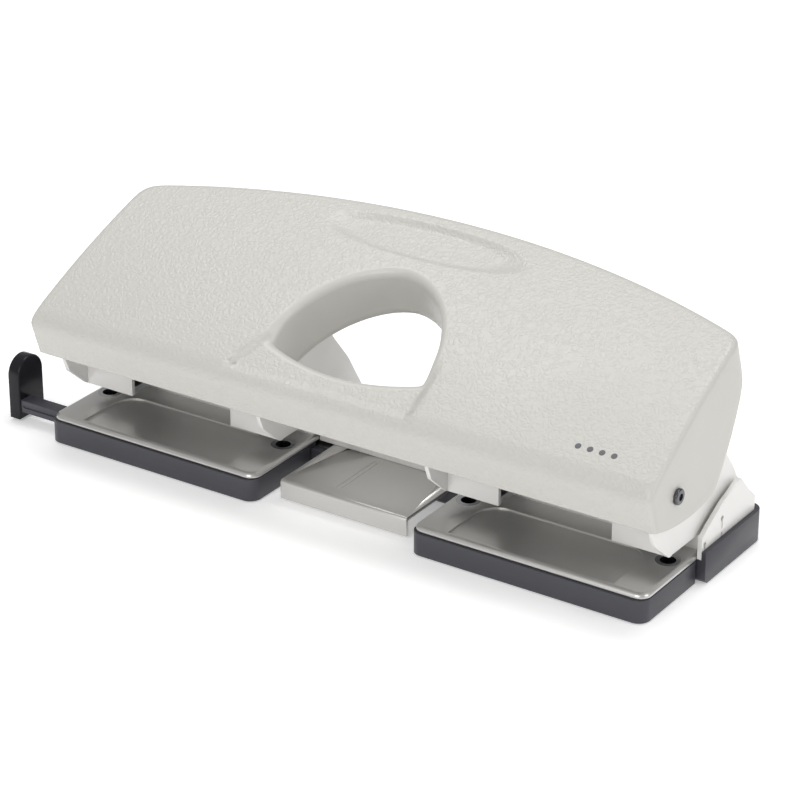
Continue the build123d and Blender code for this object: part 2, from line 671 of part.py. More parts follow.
for name, side in (("left", -1), ("right", 1)):
    export(pusher_ribs(side), f"{name}_pusher_ribs")
    export(pusher_rod(side), f"{name}_pusher_rod")
    export(punch_frame(side), f"{name}_punch_frame")
    export(guide_blocks(side), f"{name}_lower_pin_guides")
    export(guide_plate(side), f"{name}_upper_pin_guide")
    export(stage_plate(side), f"{name}_stage_plate")
    export(pivot_shaft(side), f"{name}_pivot_shaft")
    export(pivot_washer(side), f"{name}_pivot_washer")
    export(spacer_bar(side), f"{name}_spacer_bar")
    export(frame_rivets(side), f"{name}_frame_rivets")
    export(chip_tray(side), f"{name}_chip_tray")
    export(hinge_pins(side), f"{name}_tray_hinge_pins")

for number, x in enumerate(PIN_X, start=1):
    export(die_ring(x), f"die_ring_{number}")
    export(punch_pin(x), f"punch_pin_{number}")
    export(return_spring(x), f"return_spring_{number}")

export(rear_pan(), "rear_pan")
export(base_plate(), "base_plate")
export(base_screws(), "base_screws")
export(centre_plate(), "centre_plate")
export(centre_rivets(), "centre_plate_rivets")
export(rear_deck(), "rear_deck")
export(anti_slip_pad(), "anti_slip_pad")
export(corner_feet(), "corner_feet")
export(guide_bar(), "guide_bar")
export(guide_stop(), "guide_stop")
export(guide_channel(), "guide_channel")
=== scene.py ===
# %% [markdown]
# # A long four-position lever punch
# Two twin-pin punch units stand side by side under one broad plastic lever. The packed
# model brings every steel and plastic part in its right place and size. This script gives
# those parts soft edges and real finishes, and makes anew what a plain solid can't show:
# the crowned lever with its grip hole, and the coiled return springs.

# %% Load the frame
import math
import bmesh
import bpy
import numpy as np
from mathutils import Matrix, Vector


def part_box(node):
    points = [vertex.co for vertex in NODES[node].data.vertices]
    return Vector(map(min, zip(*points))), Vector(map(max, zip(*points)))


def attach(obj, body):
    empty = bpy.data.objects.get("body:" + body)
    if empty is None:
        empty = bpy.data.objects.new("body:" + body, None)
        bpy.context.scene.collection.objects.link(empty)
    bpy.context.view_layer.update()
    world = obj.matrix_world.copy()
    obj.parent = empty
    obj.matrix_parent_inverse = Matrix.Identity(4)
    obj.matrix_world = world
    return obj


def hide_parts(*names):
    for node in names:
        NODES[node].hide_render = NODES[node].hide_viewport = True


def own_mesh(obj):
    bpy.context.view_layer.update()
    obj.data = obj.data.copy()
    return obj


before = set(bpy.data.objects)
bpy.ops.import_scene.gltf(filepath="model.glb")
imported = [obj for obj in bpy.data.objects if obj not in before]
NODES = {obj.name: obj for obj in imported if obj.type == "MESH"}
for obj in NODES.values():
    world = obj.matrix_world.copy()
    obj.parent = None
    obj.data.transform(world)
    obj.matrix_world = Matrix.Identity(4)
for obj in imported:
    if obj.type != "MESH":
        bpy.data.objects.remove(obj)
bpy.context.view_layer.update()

MM = 0.001

# %% [markdown]
# The lever's shape is worked out in a frame of its own: x runs along the punch, t up the
# slope of its arched top edge and n straight out of the lever. The pivot shaft fixes where
# that frame lies, so the lever follows the model if the model moves.

# %% The lever's own frame
SHAFT_LOW, SHAFT_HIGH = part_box("right_pivot_shaft")
PIVOT_Y = (SHAFT_LOW[1] + SHAFT_HIGH[1]) / 2 / MM
PIVOT_Z = (SHAFT_LOW[2] + SHAFT_HIGH[2]) / 2 / MM
START_Y = PIVOT_Y - 21.61      # where the curved top would meet the front skirt
START_Z = PIVOT_Z + 6.89
TOP_RADIUS = 368.4             # the top's large radius in side view
START_SLOPE = math.radians(31.43)
TILT = math.radians(18.0)      # slope of the arched edge's plane


def to_row(x, t, n):
    """Places (x, t, n) in the model's frame: t is turned up by TILT from +Y, n by TILT from +Z."""
    x, t, n = np.broadcast_arrays(x, t, n)
    y = START_Y + t * math.cos(TILT) - n * math.sin(TILT)
    z = START_Z + t * math.sin(TILT) + n * math.cos(TILT)
    return np.stack([x, y, z], axis=-1) * MM


def top_height(t):
    """Height of the top: a circle of TOP_RADIUS that is highest where it runs level with t."""
    lean = START_SLOPE - TILT
    level_t = TOP_RADIUS * math.sin(lean)
    return np.sqrt(TOP_RADIUS**2 - (np.asarray(t) - level_t) ** 2) - TOP_RADIUS * math.cos(lean)


# %% [markdown]
# Every new surface is a grid of points. One helper turns a grid into a mesh, closing it in
# either direction when its ends meet, so a tube or a ring has no seam.

# %% Grid to mesh
def grid_mesh(name, points, wrap_rows=False, wrap_columns=True, smooth=True):
    """A quad for each cell of points[row, column]; where it wraps, the last one joins the first."""
    rows, columns = points.shape[:2]
    i = np.arange(rows if wrap_rows else rows - 1)
    j = np.arange(columns if wrap_columns else columns - 1)
    i, j = np.meshgrid(i, j, indexing="ij")
    i2 = (i + 1) % rows
    j2 = (j + 1) % columns
    quads = np.stack([i * columns + j, i * columns + j2, i2 * columns + j2, i2 * columns + j], axis=-1)
    mesh = bpy.data.meshes.new(name)
    mesh.from_pydata(points.reshape(-1, 3), [], quads.reshape(-1, 4))
    mesh.validate()
    bm = bmesh.new()
    bm.from_mesh(mesh)
    bmesh.ops.recalc_face_normals(bm, faces=bm.faces)
    bm.to_mesh(mesh)
    bm.free()
    mesh.polygons.foreach_set("use_smooth", np.full(len(mesh.polygons), smooth))
    piece = bpy.data.objects.new(name, mesh)
    bpy.context.scene.collection.objects.link(piece)
    return piece


# %% [markdown]
# ## Finishes
# Moulded and painted parts are never one flat value. Three effects are shared by many
# materials, so each is a node group: a slow cloudy change of tone, a moulded grain and the
# fine lines of drawn or ground metal. The last two become the height of a bump.

# %% Shared node groups
def new_group(name, inputs, outputs):
    """An empty shader group with named inputs (name, kind, default) and outputs (name, kind)."""
    group = bpy.data.node_groups.new(name, "ShaderNodeTree")
    for label, kind, default in inputs:
        made = group.interface.new_socket(label, in_out="INPUT", socket_type=kind)
        made.default_value = default
    for label, kind in outputs:
        group.interface.new_socket(label, in_out="OUTPUT", socket_type=kind)
    return group, group.nodes.new("NodeGroupInput"), group.nodes.new("NodeGroupOutput")


def node(tree, kind, **values):
    """A node with its plain settings and the defaults of its named inputs."""
    made = tree.nodes.new(kind)
    for key, value in values.items():
        if key in made.inputs:
            made.inputs[key].default_value = value
        else:
            setattr(made, key, value)
    return made


def tone_group():
    """Colour = base mixed towards a second tone by large soft noise; Mask is that noise, from 0 to 1."""
    group, given, out = new_group(
        "Soft tone",
        [("Base", "NodeSocketColor", (0.6, 0.6, 0.6, 1)),
         ("Second", "NodeSocketColor", (0.5, 0.5, 0.5, 1)),
         ("Scale", "NodeSocketFloat", 30.0),
         ("Amount", "NodeSocketFloat", 0.3)],
        [("Colour", "NodeSocketColor"), ("Mask", "NodeSocketFloat")])
    place = node(group, "ShaderNodeTexCoord")
    noise = node(group, "ShaderNodeTexNoise", Detail=4.0, Roughness=0.55)
    times = node(group, "ShaderNodeMath", operation="MULTIPLY")
    mix = node(group, "ShaderNodeMix", data_type="RGBA")
    link = group.links.new
    link(place.outputs["Object"], noise.inputs["Vector"])
    link(given.outputs["Scale"], noise.inputs["Scale"])
    link(noise.outputs["Fac"], times.inputs[0])
    link(given.outputs["Amount"], times.inputs[1])
    link(times.outputs[0], mix.inputs["Factor"])
    link(given.outputs["Base"], mix.inputs["A"])
    link(given.outputs["Second"], mix.inputs["B"])
    link(mix.outputs["Result"], out.inputs["Colour"])
    link(noise.outputs["Fac"], out.inputs["Mask"])
    return group


def grain_group():
    """Height = wrinkled cells (distance to the nearest cell wall) plus fine noise, for moulded grain."""
    group, given, out = new_group(
        "Moulded grain",
        [("Cells", "NodeSocketFloat", 700.0),
         ("Fine", "NodeSocketFloat", 2500.0),
         ("Fine Share", "NodeSocketFloat", 0.3)],
        [("Height", "NodeSocketFloat")])
    place = node(group, "ShaderNodeTexCoord")
    warp = node(group, "ShaderNodeTexNoise", Scale=260.0, Detail=2.0)
    scaled = node(group, "ShaderNodeVectorMath", operation="SCALE", Scale=0.0035)
    moved = node(group, "ShaderNodeVectorMath", operation="ADD")
    cells = node(group, "ShaderNodeTexVoronoi", feature="DISTANCE_TO_EDGE")
    soft = node(group, "ShaderNodeMapRange", interpolation_type="SMOOTHSTEP")
    soft.inputs["From Max"].default_value = 0.32
    fine = node(group, "ShaderNodeTexNoise", Detail=3.0)
    share = node(group, "ShaderNodeMath", operation="MULTIPLY_ADD")
    link = group.links.new
    link(place.outputs["Object"], warp.inputs["Vector"])
    link(warp.outputs["Color"], scaled.inputs[0])
    link(place.outputs["Object"], moved.inputs[0])
    link(scaled.outputs["Vector"], moved.inputs[1])
    link(moved.outputs["Vector"], cells.inputs["Vector"])
    link(given.outputs["Cells"], cells.inputs["Scale"])
    link(cells.outputs["Distance"], soft.inputs["Value"])
    link(place.outputs["Object"], fine.inputs["Vector"])
    link(given.outputs["Fine"], fine.inputs["Scale"])
    link(fine.outputs["Fac"], share.inputs[0])
    link(given.outputs["Fine Share"], share.inputs[1])
    link(soft.outputs["Result"], share.inputs[2])
    link(share.outputs[0], out.inputs["Height"])
    return group


def brushed_group():
    """Height and Mask = noise stretched a hundred times along X, as rolling or grinding leaves it."""
    group, given, out = new_group(
        "Drawn lines",
        [("Scale", "NodeSocketFloat", 900.0)],
        [("Height", "NodeSocketFloat"), ("Mask", "NodeSocketFloat")])
    place = node(group, "ShaderNodeTexCoord")
    stretch = node(group, "ShaderNodeMapping")
    stretch.inputs["Scale"].default_value = (0.01, 1.0, 1.0)
    noise = node(group, "ShaderNodeTexNoise", Detail=3.0)
    link = group.links.new
    link(place.outputs["Object"], stretch.inputs["Vector"])
    link(stretch.outputs["Vector"], noise.inputs["Vector"])
    link(given.outputs["Scale"], noise.inputs["Scale"])
    link(noise.outputs["Fac"], out.inputs["Height"])
    link(noise.outputs["Fac"], out.inputs["Mask"])
    return group


TONE = tone_group()
GRAIN = grain_group()
LINES = brushed_group()


# %% [markdown]
# A material is then a short recipe: its two tones, how rough it is where the tone mask is
# low and high, how metallic, and which texture raises its surface, by how much.

# %% Material recipe
def finish(name, base, second, rough, metallic=0.0, tone_scale=30.0, amount=0.35, texture=None,
           texture_values=None, bump=0.1, distance=0.0001, coat=0.0, specular=0.5):
    """Principled surface: toned colour, roughness from rough[0] to rough[1] by mask, bump by texture."""
    material = bpy.data.materials.new(name)
    material.use_nodes = True
    tree = material.node_tree
    shader = tree.nodes["Principled BSDF"]
    tone = node(tree, "ShaderNodeGroup", node_tree=TONE)
    tone.inputs["Base"].default_value = (*base, 1)
    tone.inputs["Second"].default_value = (*second, 1)
    tone.inputs["Scale"].default_value = tone_scale
    tone.inputs["Amount"].default_value = amount
    spread = node(tree, "ShaderNodeMapRange")
    spread.inputs["From Min"].default_value = 0.3
    spread.inputs["From Max"].default_value = 0.7
    spread.inputs["To Min"].default_value = rough[0]
    spread.inputs["To Max"].default_value = rough[1]
    link = tree.links.new
    link(tone.outputs["Colour"], shader.inputs["Base Color"])
    link(tone.outputs["Mask"], spread.inputs["Value"])
    link(spread.outputs["Result"], shader.inputs["Roughness"])
    shader.inputs["Metallic"].default_value = metallic
    shader.inputs["Coat Weight"].default_value = coat
    shader.inputs["Coat Roughness"].default_value = 0.2
    shader.inputs["Specular IOR Level"].default_value = specular
    if texture:
        raised = node(tree, "ShaderNodeGroup", node_tree=texture)
        for key, value in (texture_values or {}).items():
            raised.inputs[key].default_value = value
        bumped = node(tree, "ShaderNodeBump", Strength=bump, Distance=distance)
        link(raised.outputs["Height"], bumped.inputs["Height"])
        link(bumped.outputs["Normal"], shader.inputs["Normal"])
    return material


LEVER = finish("lever grained plastic", (0.545, 0.535, 0.50), (0.49, 0.48, 0.45), (0.34, 0.44), tone_scale=18,
               texture=GRAIN, texture_values={"Cells": 480.0, "Fine": 1500.0, "Fine Share": 0.35},
               bump=0.5, distance=0.00022)
LEVER_SMOOTH = finish("lever smooth plastic", (0.545, 0.535, 0.50), (0.49, 0.48, 0.45), (0.30, 0.40),
                      tone_scale=24, texture=GRAIN,
                      texture_values={"Cells": 1500.0, "Fine": 4000.0, "Fine Share": 0.6},
                      bump=0.08, distance=0.00006)
PAINT = finish("satin grey paint", (0.78, 0.77, 0.75), (0.70, 0.69, 0.67), (0.28, 0.36), tone_scale=40,
               texture=GRAIN, texture_values={"Cells": 900.0, "Fine": 3200.0, "Fine Share": 0.8},
               bump=0.06, distance=0.00006, coat=0.15)
STAGE = finish("satin nickel plate", (0.62, 0.61, 0.59), (0.54, 0.535, 0.52), (0.29, 0.33), metallic=0.75,
               tone_scale=12, texture=LINES, bump=0.03, distance=0.00003)
ZINC = finish("zinc plated steel", (0.55, 0.56, 0.57), (0.44, 0.45, 0.47), (0.28, 0.42), metallic=1.0,
              tone_scale=60, texture=LINES, bump=0.06, distance=0.00005)
HARD = finish("ground hard steel", (0.50, 0.50, 0.51), (0.36, 0.36, 0.38), (0.16, 0.28), metallic=1.0,
              tone_scale=90, texture=LINES, texture_values={"Scale": 1600.0},
              bump=0.05, distance=0.00004)
DARK = finish("blackened steel", (0.13, 0.13, 0.14), (0.08, 0.08, 0.085), (0.22, 0.34), metallic=1.0,
              tone_scale=150, texture=LINES, bump=0.04, distance=0.00003)
WIRE = finish("spring wire", (0.46, 0.46, 0.47), (0.30, 0.30, 0.32), (0.20, 0.32), metallic=1.0,
              tone_scale=120, texture=LINES, bump=0.04, distance=0.00003)
BLACK = finish("black moulded plastic", (0.034, 0.034, 0.042), (0.055, 0.055, 0.068), (0.34, 0.48),
               tone_scale=30, amount=0.8, texture=GRAIN,
               texture_values={"Cells": 1100.0, "Fine": 3600.0, "Fine Share": 0.7},
               bump=0.16, distance=0.00006)
GLOSS = finish("polished black plastic", (0.012, 0.012, 0.015), (0.02, 0.02, 0.024), (0.14, 0.22),
               tone_scale=40, texture=GRAIN, texture_values={"Cells": 1400.0, "Fine": 4000.0},
               bump=0.03, distance=0.00004, specular=0.2)
ACETAL = finish("white acetal", (0.72, 0.72, 0.69), (0.62, 0.62, 0.60), (0.35, 0.45), tone_scale=60,
                texture=GRAIN, texture_values={"Cells": 1600.0}, bump=0.05, distance=0.00004)
RUBBER = finish("soft black rubber", (0.028, 0.028, 0.028), (0.05, 0.05, 0.048), (0.62, 0.8), tone_scale=50,
                amount=0.7, texture=GRAIN, texture_values={"Cells": 1300.0, "Fine": 3000.0, "Fine Share": 0.9},
                bump=0.3, distance=0.0001)
INK = finish("pad printed ink", (0.10, 0.10, 0.11), (0.14, 0.14, 0.15), (0.4, 0.5), tone_scale=200)
print("materials", len(bpy.data.materials))

# %% [markdown]
# ## Parts that keep their shape
# Sheet steel, trays and plates are right as they come, but every real edge is a little
# rounded and catches the light. Each one is copied, its flat triangles are merged and the
# large faces split again more evenly, and every edge that turns sharply gets a small bevel.

# %% Soft-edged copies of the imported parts
def soften(name, material, width, body, angle=35.0, segments=3):
    """A merged copy of the part, in its own place, with rounded edges of that width in millimetres."""
    source = NODES[name]
    bm = bmesh.new()
    bm.from_mesh(source.data)
    bmesh.ops.remove_doubles(bm, verts=bm.verts, dist=2e-6)
    bmesh.ops.dissolve_limit(bm, angle_limit=math.radians(0.5), verts=bm.verts, edges=bm.edges)
    bmesh.ops.triangulate(bm, faces=[f for f in bm.faces if len(f.verts) > 4], ngon_method="BEAUTY")
    mesh = bpy.data.meshes.new(name + "_soft")
    bm.to_mesh(mesh)
    bm.free()
    mesh.polygons.foreach_set("use_smooth", np.ones(len(mesh.polygons), bool))
    mesh.materials.append(material)
    piece = bpy.data.objects.new(name + "_soft", mesh)
    bpy.context.scene.collection.objects.link(piece)
    edge = piece.modifiers.new("rounded edges", "BEVEL")
    edge.width = width * MM
    edge.segments = segments
    edge.limit_method = "ANGLE"
    edge.angle_limit = math.radians(angle)
    edge.use_clamp_overlap = True
    edge.harden_normals = True
    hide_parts(name)
    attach(piece, body)
    return piece


SIDES = ("left", "right")
SOFT = [("rear_pan", BLACK, 0.45, "base"),
        ("rear_deck", PAINT, 0.3, "base"),
        ("centre_plate", STAGE, 0.5, "base"),
        ("guide_bar", BLACK, 0.3, "paper_guide"),
        ("guide_stop", GLOSS, 0.35, "paper_guide"),
        ("anti_slip_pad", RUBBER, 0.3, "base")]
for side in SIDES:
    SOFT += [(f"{side}_chip_tray", BLACK, 0.45, f"{side}_tray"),
             (f"{side}_lower_pin_guides", ZINC, 0.2, "base"),
             (f"{side}_punch_frame", PAINT, 0.3, "base"),
             (f"{side}_stage_plate", STAGE, 0.2, "base"),
             (f"{side}_pusher_ribs", ZINC, 0.25, "lever")]
for name, material, width, body in SOFT:
    soften(name, material, width, body)
print("softened", len(SOFT))


# %% [markdown]
# Small turned parts, screws and hidden plates stay as they are and only take a finish.

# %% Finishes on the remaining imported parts
def paint(name, material):
    """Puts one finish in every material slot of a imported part."""
    slots = NODES[name].data.materials
    slots.clear()
    slots.append(material)


PLAIN = {"base_plate": ZINC, "base_screws": ZINC, "centre_plate_rivets": ZINC, "corner_feet": RUBBER,
         "guide_channel": ZINC}
for side in SIDES:
    for kind, material in (("pusher_rod", HARD), ("upper_pin_guide", ZINC),
                           ("pivot_shaft", DARK), ("pivot_washer", ACETAL), ("spacer_bar", ZINC),
                           ("frame_rivets", ZINC), ("tray_hinge_pins", HARD)):
        PLAIN[f"{side}_{kind}"] = material
for number in range(1, 5):
    PLAIN[f"die_ring_{number}"] = HARD
    PLAIN[f"punch_pin_{number}"] = HARD
for name, material in PLAIN.items():
    paint(name, material)
print("painted", len(PLAIN))

# %% [markdown]
# ## The lever
# One moulded shell: a crowned top, a skirt in front, a leaf-shaped wall at each end, a rim
# under the arched rear edge and a walled hole for the fingers. All of it is one grid that
# closes both ways. Each column starts at the foot of the hole's wall, climbs to the top,
# crosses it to the edge, goes down the outer wall, and returns along the inside.

# %% The lever's outline seen from above
FRONT_T = 1.85                 # plane of the front skirt
HALF_WIDTH = 130.25
DRAFT = 0.052                  # the ends lean in towards the rear
END_T = 75.4                   # arched edge at the ends and in the middle
MID_T = 97.35
EDGE_ROUND = {"front": 6.0, "end": 2.2, "rear": 3.0}
COUNTS = {"front": 200, "end": 60, "rear": 210}
WALL = 1.5


def arch_t(x):
    """The arched rear edge: a circle through the two end corners and the middle."""
    half = HALF_WIDTH - DRAFT * END_T
    rise = MID_T - END_T
    radius = (half**2 + rise**2) / (2 * rise)
    return MID_T - radius + np.sqrt(radius**2 - np.asarray(x) ** 2)


def blur(values, width, spacing=1.25):
    """Smooths a closed curve with a Gaussian of that width in millimetres, by its Fourier series."""
    count = len(values)
    waves = np.fft.fftfreq(count, d=spacing)
    keep = np.exp(-2 * (math.pi * width * waves) ** 2)
    return np.fft.ifft(np.fft.fft(values, axis=0) * keep[:, None], axis=0).real


def lever_outline(front, end, rear):
    """Closed outline, as (x, t), with each side moved in by its own amount and the corners blurred round."""
    low = FRONT_T + front
    half_front = HALF_WIDTH - DRAFT * low - end
    half_rear = HALF_WIDTH - DRAFT * END_T - end
    end_top = arch_t(half_rear) - rear
    u = (np.arange(COUNTS["front"]) / COUNTS["front"] - 0.5) * 2
    front_edge = np.stack([u * half_front, np.full_like(u, low)], axis=1)
    v = np.arange(COUNTS["end"]) / COUNTS["end"]
    right = np.stack([half_front + (half_rear - half_front) * v, low + (end_top - low) * v], axis=1)
    w = 1 - np.arange(COUNTS["rear"]) / COUNTS["rear"] * 2
    back = np.stack([w * half_rear, arch_t(w * half_rear) - rear], axis=1)
    left = np.stack([-right[::-1, 0], right[::-1, 1]], axis=1)
    shape = np.concatenate([front_edge, right, back, left])
    crisp = blur(shape, 1.6)
    round_ = blur(shape, 3.6)
    share = np.clip((crisp[:, 1:] - 30) / 30, 0, 1)
    return crisp * (1 - share) + round_ * share


COLUMNS = len(lever_outline(0, 0, 0))
print("lever columns", COLUMNS)

# %% [markdown]
# The grip hole is a pointed half ellipse over a shallow curved foot. It is cut square to the top
# where the fingers go in, so it has its own small tilt against the lever's frame.

# %% The grip hole's outline
HOLE_AT = 40.0                 # distance up the curved top of the hole's own plane
HOLE_X = -2.0
HOLE_HALF = 31.5
HOLE_RISE = 38.5
HOLE_POWER = 2 / 1.8           # a little more pointed than an ellipse
HOLE_SHOULDER = -14.0
HOLE_KNEE = -18.0
HOLE_FOOT = -24.0
TUNNEL = 22.0                  # depth of the hole's wall
FLANK_TURN = math.radians(38)  # how far up the arch each flank reaches
HOLE_LEAN = START_SLOPE - HOLE_AT / TOP_RADIUS - TILT
HOLE_T = TOP_RADIUS * (math.sin(START_SLOPE - TILT) - math.sin(HOLE_LEAN))
HOLE_N = TOP_RADIUS * (math.cos(HOLE_LEAN) - math.cos(START_SLOPE - TILT))


def hole_outline(grow):
    """Closed outline (x, h), moved out by grow: foot arc, flanks and a pointed half ellipse."""
    half = HOLE_HALF + grow
    u = (np.arange(COUNTS["front"]) / COUNTS["front"] - 0.5) * 2
    sag = (HOLE_KNEE - HOLE_FOOT) + 0.3 * grow
    foot = np.stack([HOLE_X + u * half, HOLE_FOOT - grow + sag * u**2], axis=1)
    v = np.arange(COUNTS["end"]) / COUNTS["end"]
    knee = HOLE_KNEE - 0.7 * grow

    def arch(angle):
        """Point of the half ellipse at that angle, its sine and cosine raised to HOLE_POWER."""
        across = np.sign(np.cos(angle)) * np.abs(np.cos(angle)) ** HOLE_POWER
        return HOLE_X + half * across, HOLE_SHOULDER + (HOLE_RISE + grow) * np.sin(angle) ** HOLE_POWER

    climb = np.clip(v * 4, 0, 1)
    across, high = arch(np.clip((v - 0.25) / 0.75, 0, 1) * FLANK_TURN)
    right = np.stack([across, np.where(v < 0.25, knee + (HOLE_SHOULDER - knee) * climb, high)], axis=1)
    sweep = (math.pi - 2 * FLANK_TURN) * np.arange(COUNTS["rear"]) / COUNTS["rear"]
    back = np.stack(arch(FLANK_TURN + sweep), axis=1)
    left = np.stack([2 * HOLE_X - right[::-1, 0], right[::-1, 1]], axis=1)
    shape = np.concatenate([foot, right, back, left])
    return blur(shape, 1.6, spacing=0.45)


def hole_surface(h):
    """Height of the top over the hole's plane at h: a circle of TOP_RADIUS that touches the plane."""
    return np.sqrt(TOP_RADIUS**2 - h**2) - TOP_RADIUS


def hole_to_lever(h, out):
    """(t, n) of a point h along the hole's plane and out above it."""
    t = HOLE_T + h * math.cos(HOLE_LEAN) - out * math.sin(HOLE_LEAN)
    n = HOLE_N + h * math.sin(HOLE_LEAN) + out * math.cos(HOLE_LEAN)
    return t, n


# %% [markdown]
# Two shallow features are pressed into the top: a finger dish just under the arched edge,
# and the apron below the grip hole, which sits a little lower between two soft creases. The
# left crease runs outwards as it goes down.

# %% Pressed features of the top
DISH_AT = (-4, 81.5)           # middle of the dish in x and t
DISH_HALF = (42, 9.6)
DISH_DEPTH = 1.7
APRON_DEPTH = 1.8
APRON_LEFT = -35.0             # the creases beside the hole's foot
APRON_RIGHT = (32.0, 35.0)
APRON_TOP = 24.0               # where the left crease starts to run outwards
APRON_SPREAD = 0.45


def ramp(value, low, high):
    """Smooth step from 0 at low to 1 at high."""
    share = np.clip((value - low) / (high - low), 0, 1)
    return share * share * (3 - 2 * share)


def pressed(x, t):
    """Depth pressed into the top: a long oval dish, and the apron below the grip hole."""
    oval = (np.abs(x - DISH_AT[0]) / DISH_HALF[0]) ** 2.2 + (np.abs(t - DISH_AT[1]) / DISH_HALF[1]) ** 2.2
    dish = DISH_DEPTH * (1 - ramp(oval, 0.45, 1.1))
    left_edge = APRON_LEFT - APRON_SPREAD * (APRON_TOP - np.asarray(t)).clip(0, APRON_TOP)
    inside = ramp(x - left_edge, -1.5, 1.0) * (1 - ramp(x, *APRON_RIGHT))
    apron = APRON_DEPTH * inside * ramp(t, 3.0, 9.0) * (1 - ramp(t, 22.0, 32.0))
    return dish + apron


# %% [markdown]
# The walls end on a lower line: straight under the skirt, a long curve under each end and
# up its rear, then nearly level under the arched rim.

# %% The walls' lower line
def arc_line(first, middle, last):
    """Height as a function of t on the circle through three points, on the middle point's branch."""
    a, b, c = (np.array(p, float) for p in (first, middle, last))
    system = 2 * np.array([b - a, c - a])
    centre = np.linalg.solve(system, [b @ b - a @ a, c @ c - a @ a])
    radius = np.linalg.norm(a - centre)
    branch = 1 if b[1] > centre[1] else -1

    def height(t):
        return centre[1] + branch * np.sqrt(np.maximum(radius**2 - (t - centre[0]) ** 2, 0))

    return height


SKIRT_FOOT = (1.84, -15.73)
HEEL = (42.39, -33.32)
SHOULDER = (77.47, -1.4)
RIM_END = (99.78, -0.2)
under_end = arc_line(SKIRT_FOOT, (20.36, -26.69), HEEL)
behind_end = arc_line(HEEL, (60.8, -20.69), SHOULDER)


def lower_line(t):
    """Lower edge of the wall at t, its corners softened by averaging over a few millimetres."""
    total = 0.0
    shifts = np.linspace(-2.6, 2.6, 9)
    for shift in shifts:
        at = np.clip(t + shift, SKIRT_FOOT[0], RIM_END[0])
        rim = SHOULDER[1] + (RIM_END[1] - SHOULDER[1]) * (at - SHOULDER[0]) / (RIM_END[0] - SHOULDER[0])
        total = total + np.where(at < HEEL[0], under_end(at), np.where(at < SHOULDER[0], behind_end(at), rim))
    return total / len(shifts)


# %% The whole shell
def edge_radius():
    """Rounding radius for each column, changing smoothly from the skirt to the ends and the rear rim."""
    parts = [np.full(COUNTS["front"], EDGE_ROUND["front"]), np.full(COUNTS["end"], EDGE_ROUND["end"]),
             np.full(COUNTS["rear"], EDGE_ROUND["rear"]), np.full(COUNTS["end"], EDGE_ROUND["end"])]
    return blur(np.concatenate(parts)[:, None], 4.0)[:, 0]


def inset_outline(share, extra=0.0):
    """Outline moved in by a share of each side's rounding radius, plus extra all round."""
    return lever_outline(share * EDGE_ROUND["front"] + extra, share * EDGE_ROUND["end"] + extra,
                         share * EDGE_ROUND["rear"] + extra)


RADIUS = edge_radius()
HOLE_ROUND = 3.0
TUNNEL_STEPS = 8
TOP_STEPS = 58
TUNNEL_SKIN = 1.2              # thickness of the hole's wall
TURNS = np.radians(np.linspace(0, 90, 7))


def shell_rows():
    """Rows of (x, t, n): up the hole's wall, over the top, down the outside and back along the inside."""
    rows = []
    x, h = hole_outline(0).T
    top_edge = hole_surface(h) - HOLE_ROUND
    for share in np.linspace(0, 0.97, TUNNEL_STEPS):
        t, n = hole_to_lever(h, (0.3 - TUNNEL) * (1 - share) + top_edge * share)
        rows.append((x, t, n - share * pressed(x, t)))
    for turn in TURNS[::-1]:
        x, h = hole_outline(HOLE_ROUND * (1 - math.sin(turn))).T
        t, n = hole_to_lever(h, hole_surface(h) - HOLE_ROUND * (1 - math.cos(turn)))
        rows.append((x, t, n - pressed(x, t)))
    start = rows[-1]
    edge = inset_outline(1.0)
    share = np.linspace(0, 1, TOP_STEPS + 2)[1:-1]
    share = 0.6 * share + 0.4 * (1 - np.cos(math.pi * share)) / 2
    for s in share:
        x = start[0] * (1 - s) + edge[:, 0] * s
        t = start[1] * (1 - s) + edge[:, 1] * s
        rows.append((x, t, top_height(t) - pressed(x, t)))
    for turn in TURNS:
        x, t = inset_outline(1 - math.sin(turn)).T
        rows.append((x, t, top_height(t) - RADIUS * (1 - math.cos(turn)) - pressed(x, t) * math.cos(turn)))
    x, t = lever_outline(0, 0, 0).T
    high = top_height(t) - RADIUS
    low = np.minimum(lower_line(t), high - 0.5)
    for s in (0.12, 0.28, 0.45, 0.62, 0.8, 0.93):
        rows.append((x, t, high * (1 - s) + low * s))
    for inset, lift in ((0.0, 0.45), (0.12, 0.12), (0.45, 0.0), (1.05, 0.0), (1.38, 0.12), (WALL, 0.45)):
        x, t = lever_outline(inset, inset, inset).T
        rows.append((x, t, low + lift))
    x, t = lever_outline(WALL, WALL, WALL).T
    high_in = top_height(t) - np.maximum(RADIUS, WALL + 0.6)
    for s in (0.25, 0.5, 0.75, 1.0):
        rows.append((x, t, (low + 0.45) * (1 - s) + high_in * s))
    for turn in TURNS[-2::-2]:
        x, t = inset_outline(1 - math.sin(turn), WALL * math.sin(turn)).T
        fall = (RADIUS - WALL).clip(0.6) * (1 - math.cos(turn))
        rows.append((x, t, top_height(t) - WALL - fall - pressed(x, t) * math.cos(turn)))
    outer_edge = rows[-1]
    x, h = hole_outline(TUNNEL_SKIN).T
    t, _ = hole_to_lever(h, hole_surface(h) - WALL)
    for s in np.linspace(0, 1, 26)[1:]:
        mid_x = outer_edge[0] * (1 - s) + x * s
        mid_t = outer_edge[1] * (1 - s) + t * s
        rows.append((mid_x, mid_t, top_height(mid_t) - WALL - pressed(mid_x, mid_t)))
    for depth in (HOLE_ROUND + 2.5, 8.0, 12.0, 16.0, 20.0, TUNNEL - 0.35):
        rows.append((x, *hole_to_lever(h, -depth)))
    for grow in (TUNNEL_SKIN - 0.3, 0.3):
        x, h = hole_outline(grow).T
        rows.append((x, *hole_to_lever(h, -TUNNEL)))
    return rows


